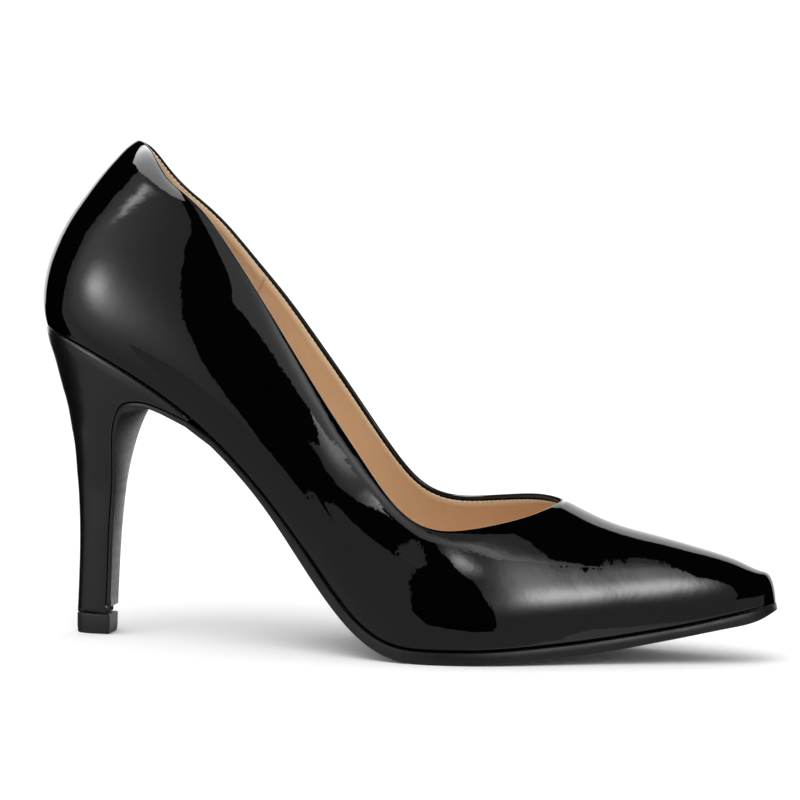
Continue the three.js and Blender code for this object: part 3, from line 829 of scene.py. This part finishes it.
def build_outsole():
    path = sole_path()
    run = unit(np.gradient(path[:-1, [0, 1]], axis=0))
    run = np.append(run, run[-1:], axis=0)
    rings = []
    for (x, z, near, far, thick, crown), (rx, rz) in zip(path, run):
        edge = min(EDGE_ROUND, thick / 3)
        ring = []
        for side, width in ((-1, near), (1, far)):
            inset = min(2 * edge, 0.3 * width)
            corner = np.radians(np.linspace(0, 90, 7))
            outline = [(share * (width - inset / 4), 0) for share in np.linspace(0, 1, 8)]
            outline += [(width, edge / 2), (width, thick / 2)]
            outline += [
                (width - edge * 0.9 * (1 - math.cos(t)), thick - edge * (1 - math.sin(t)))
                for t in corner
            ]
            flat = width - edge * 0.9
            outline += [
                (flat * share, thick + crown * (1 - share ** 2))
                for share in np.linspace(0.93, 0, 12)
            ]
            points = [(side * max(y, 0), depth) for y, depth in outline]
            ring += points if side < 0 else points[::-1][1:-1]
        ring = np.array(ring)
        depth = ring[:, 1] + GAP
        rings.append(np.stack([
            x - rz * depth, ring[:, 0], np.maximum(z + rx * depth, 0),
        ], -1))
    sheets = Sheets()
    sheets.add(np.stack(rings), wrap=True)
    place(sheets.build("outsole_strip", [SOLE_EDGE]), "sole_edge", "outsole")


# Insole

# Share of the insole's thickness that its leather sock covers at the sides; below it, the sides and the
# underside take the near-black sole-edge finish as painted shade
SOCK_SHARE = 0.4


def build_insole():
    end_x = TOE_X - 2 * INSOLE
    columns = stations(120, 60)
    columns = np.append(columns[columns < end_x - 0.05], end_x)
    end = np.sqrt(1 - np.clip((columns - end_x + INSOLE) / INSOLE, 0, 1) ** 2)
    edges = [
        last_point(columns, feather_angle(columns, side), side)
        - (WALL + GAP) * last_normal(columns, feather_angle(columns, side), side)
        for side in (-1, 1)
    ]
    middle = (edges[0][:, 0] + edges[1][:, 0]) / 2
    slope = np.gradient(feather(middle), middle)
    up = unit(np.stack([-slope, 0 * slope, np.ones_like(slope)], -1))
    near, far = edges[0][:, 1] * end, edges[1][:, 1] * end
    shares = np.concatenate([[0, 0.004, 0.015], np.linspace(0.04, 0.96, 20), [0.985, 0.996, 1]])
    soft = np.concatenate([[0.5, 0.8, 0.95], np.ones(20), [0.95, 0.8, 0.5]])
    top, under = [], []
    for share, height in zip(shares, soft):
        base = np.stack([middle, mix(near, far, share), feather(middle)], -1)
        top.append(base + up * INSOLE * height)
        under.append(base)
    sheets = Sheets()
    sheets.add(np.stack(top), 0)
    # Underside in the near-black sole-edge finish: painted shade where the insole shows through the gaps
    sheets.add(np.stack(under), 1)
    for row, low in ((top[0], under[0]), (top[-1], under[-1])):
        sock_edge = mix(row, low, SOCK_SHARE)
        sheets.add(np.stack([row, sock_edge]), 0)
        # Lower part of the sides: painted shade, in the sole-edge finish
        sheets.add(np.stack([sock_edge, low]), 1)
    place(sheets.build("insole_sock", [TAN, SOLE_EDGE]), "lining", "insole")


build_upper()
build_lining()
build_counter()
build_outsole()
build_heel()
build_tip()
build_insole()


# Camera: the photograph's view, from the outer side, a little ahead and a little above

CAMERA_AZIMUTH = 11.0
CAMERA_ELEVATION = 4.8
CAMERA_ROLL = 0.9
CAMERA_DISTANCE = 1100.0
FRAME_WIDTH = 800
MM_PER_PIXEL = 0.303
SENSOR_WIDTH = 36.0
AIM = (0.0, 0.0, 70.0)
AIM_PIXEL = (405.0, 416.0)


def build_camera():
    azimuth, elevation = math.radians(CAMERA_AZIMUTH), math.radians(CAMERA_ELEVATION)
    roll = math.radians(CAMERA_ROLL)
    back = Vector((
        math.sin(azimuth) * math.cos(elevation),
        -math.cos(azimuth) * math.cos(elevation),
        math.sin(elevation),
    ))
    level_right = Vector((math.cos(azimuth), math.sin(azimuth), 0))
    level_up = back.cross(level_right)
    right = level_right * math.cos(roll) + level_up * math.sin(roll)
    up = level_up * math.cos(roll) - level_right * math.sin(roll)
    place_mm = Vector(AIM) + back * CAMERA_DISTANCE
    centre_x = (FRAME_WIDTH / 2 - AIM_PIXEL[0]) * MM_PER_PIXEL
    centre_y = (AIM_PIXEL[1] - FRAME_WIDTH / 2) * MM_PER_PIXEL
    target = Vector(AIM) + right * centre_x + up * centre_y
    forward = (target - place_mm).normalized()
    right = (right - forward * right.dot(forward)).normalized()
    up = right.cross(forward)
    camera = bpy.data.cameras.new("camera")
    camera.sensor_width = SENSOR_WIDTH
    camera.lens = SENSOR_WIDTH * CAMERA_DISTANCE / (MM_PER_PIXEL * FRAME_WIDTH)
    camera.clip_start = 0.05
    thing = bpy.data.objects.new("camera", camera)
    rotation = Matrix((right, up, -forward)).transposed().to_4x4()
    moved = (place_mm + Vector(SHIFT)) * MM
    thing.matrix_world = Matrix.Translation(moved) @ rotation
    bpy.context.scene.collection.objects.link(thing)
    bpy.context.scene.camera = thing


# Studio

FLOOR_REACH = 6.0


def build_floor():
    mesh = bpy.data.meshes.new("floor")
    reach = FLOOR_REACH
    mesh.from_pydata([(-reach, -reach, 0), (reach, -reach, 0), (reach, reach, 0), (-reach, reach, 0)],
                     [], [(0, 1, 2, 3)])
    finish = Finish("floor", Roughness=0.9, Specular_IOR_Level=0.1)
    finish.feed("Base Color", (0.92, 0.92, 0.92, 1))
    mesh.materials.append(finish.material)
    floor = bpy.data.objects.new("floor", mesh)
    bpy.context.scene.collection.objects.link(floor)
    floor.visible_glossy = False


# Brightness of the surroundings for matte surfaces and for the camera
AMBIENT = 1.0
BACKDROP = 1.05

# What the patent mirrors: panels bounded by great circles. A direction is an
# azimuth and an elevation in degrees, seen from the shoe: 0 is ahead of the toe, -90 the outer side.
PANELS = [
    # radiance, softness, edges: pairs of directions whose cross products point into the panel
    (0.40, 0.008, [((350, 0), (300, 0)), ((299, 0), (299, -26)), ((350, -26), (350, 0))]),
    (1.70, 0.03, [((42, -12), (85, -12)), ((85, -12), (138, -12)), ((138, 0), (138, 40)),
                  ((138, 50), (85, 50)), ((85, 50), (30, 50)), ((42, 40), (42, 0))]),
    (0.36, 0.03, [((90, -26), (0, -26)), ((0, -26), (270, -26)), ((270, -26), (180, -26)),
                  ((180, -26), (90, -26))]),
]


def direction(azimuth, elevation):
    a, e = math.radians(azimuth), math.radians(elevation)
    return Vector((math.cos(e) * math.cos(a), math.cos(e) * math.sin(a), math.sin(e)))


def build_world():
    world = bpy.data.worlds.new("studio")
    bpy.context.scene.world = world
    world.use_nodes = True
    graph = Graph(world.node_tree)
    where = graph.node("ShaderNodeTexCoord", {}, {})[0]

    def dot(vector):
        return graph.node(
            "ShaderNodeVectorMath", {"operation": "DOT_PRODUCT"}, {0: where, 1: vector})[1]

    light = 0.0
    for radiance, softness, edges in PANELS:
        inside = 1.0
        for start, end in edges:
            normal = direction(*start).cross(direction(*end)).normalized()
            inside = inside * dot(normal).over(-softness, softness)
        light = light + inside * radiance
    camera_ray, _, _, glossy_ray = graph.node("ShaderNodeLightPath", {}, {})[:4]
    seen = graph.node("ShaderNodeMix", {}, {0: glossy_ray, 2: AMBIENT, 3: light})[0]
    seen = graph.node("ShaderNodeMix", {}, {0: camera_ray, 2: seen, 3: BACKDROP})[0]
    background = world.node_tree.nodes["Background"]
    background.inputs["Color"].default_value = (1, 1, 1, 1)
    graph.plug(background.inputs["Strength"], seen)


# Bounce cards at the outer side, in millimetres of the shoe, and one black flag that hides them.
# Each stands on the line y = foot + turn * x and moves by lean for each millimetre of height.
# The outline holds x and z. A glow is x, z, width, height and radiance at its middle; glows start
# at the first height of fade and are whole at the second.
CARDS = [
    {
        "name": "front_card", "foot": -180, "turn": 0.0, "lean": 0.25, "radiance": 0.4,
        "outline": [(120, -4), (224, 20), (206, 110), (189, 147), (170, 194), (166, 280),
                    (168, 360), (184, 547), (184, 640), (14, 640), (14, 270), (30, 250),
                    (54, 205), (76, 151), (92, 81)],
        "glows": [(137, 185, 24, 110, 3.0), (152, 121, 14, 33, 8.0), (55, 257, 13, 24, 5.0)],
        "fade": (0, 110),
    },
    {
        "name": "back_card", "foot": -165, "turn": -0.09, "lean": 0.0, "radiance": 0.4,
        "outline": [(-90, -60), (-66, 56), (-50, 146), (-38, 212), (-20, 262), (-20, 420),
                    (-480, 420), (-500, 250), (-560, 120), (-700, 20), (-900, -100),
                    (-900, -300), (-90, -300)],
        "glows": [(-260, 200, 90, 140, 0.7), (-192, 313, 28, 10, 5.0), (-215, 150, 30, 28, 6.0),
                  (-170, 120, 45, 35, 1.4)],
        "fade": (-60, 60),
    },
    {
        "name": "low_card", "foot": -100, "turn": 0.0, "lean": 0.0, "radiance": 0.4,
        "outline": [(-130, 60), (-62, 60), (-44, 58), (-20, 78), (-20, 22), (-2, -6), (50, -25),
                    (130, -35), (130, -200), (-130, -200)],
        "glows": [],
        "fade": (-60, 60),
    },
    {
        "name": "top_card", "foot": -420, "turn": 0.0, "lean": 1.0, "radiance": 2.8,
        "outline": [(-20, 315), (-60, 306), (-131, 305), (-170, 312), (-209, 325), (-300, 380),
                    (-300, 520), (-20, 520)],
        "glows": [(-120, 460, 160, 60, 14.0)],
        "fade": (-60, 60),
    },
    {
        "name": "ball_card", "foot": -60, "turn": 0.0, "lean": 0.0, "radiance": 0.4,
        "outline": [(-20, 36), (-16, 62), (-9, 67), (-4, 71), (-1, 67), (-1, 50), (-3, 40)],
        "glows": [],
        "fade": (-60, 60),
    },
    {
        "name": "rim_card", "foot": -50, "turn": 0.0, "lean": 0.0, "radiance": 0.8,
        "outline": [(-30, 122), (-19, 118), (-1, 112), (16, 108), (26, 108), (42, 122),
                    (60, 130), (110, 150), (110, 220), (-30, 220)],
        "glows": [(60, 145, 26, 22, 1.5)],
        "fade": (-60, 60),
    },
    {
        "name": "black_flag", "foot": -50, "turn": 0.0, "lean": 0.0, "radiance": 0.0,
        "outline": [(-40, 100), (-25, 92), (-8, 84), (6, 92), (14, 103), (16, 108), (-1, 112),
                    (-19, 118), (-30, 122)],
        "glows": [],
        "fade": (-60, 60),
    },
]


def build_card(name, foot, turn, lean, radiance, outline, glows, fade):
    points = [(x, foot + turn * x + lean * z, z) for x, z in outline]
    mesh = bpy.data.meshes.new(name)
    mesh.from_pydata(((np.array(points) + SHIFT) * MM).tolist(), [], [tuple(range(len(points)))])
    material = bpy.data.materials.new(name)
    material.use_nodes = True
    graph = Graph(material.node_tree)
    where = graph.node("ShaderNodeTexCoord", {}, {})[3]
    across, _, height = graph.node("ShaderNodeSeparateXYZ", {}, {0: where})
    rise = height.over(fade[0] * MM, fade[1] * MM)
    light = radiance
    for x, z, wide, tall, glow in glows:
        u = (across - (x + SHIFT[0]) * MM) * (1 / (wide * MM))
        v = (height - z * MM) * (1 / (tall * MM))
        light = light + (u * u * -0.5 + v * v * -0.5).exponent() * rise * glow
    emission = graph.node("ShaderNodeEmission", {}, {"Strength": light})[0]
    graph.plug(material.node_tree.nodes["Material Output"].inputs["Surface"], emission)
    mesh.materials.append(material)
    card = bpy.data.objects.new(name, mesh)
    bpy.context.scene.collection.objects.link(card)
    for ray in ("camera", "diffuse", "shadow", "transmission"):
        setattr(card, "visible_" + ray, False)


SUN_STRENGTH = 1.2
SUN_SPREAD = 50.0
SUN_TILT = (28.0, -6.0, 0.0)


def build_sun():
    light = bpy.data.lights.new("overhead", "SUN")
    light.energy = SUN_STRENGTH
    light.angle = math.radians(SUN_SPREAD)
    thing = bpy.data.objects.new("overhead", light)
    thing.rotation_euler = [math.radians(degrees) for degrees in SUN_TILT]
    thing.visible_glossy = False
    bpy.context.scene.collection.objects.link(thing)


build_camera()
build_floor()
build_world()
for card in CARDS:
    build_card(**card)
build_sun()
bpy.context.scene.view_settings.view_transform = "Standard"
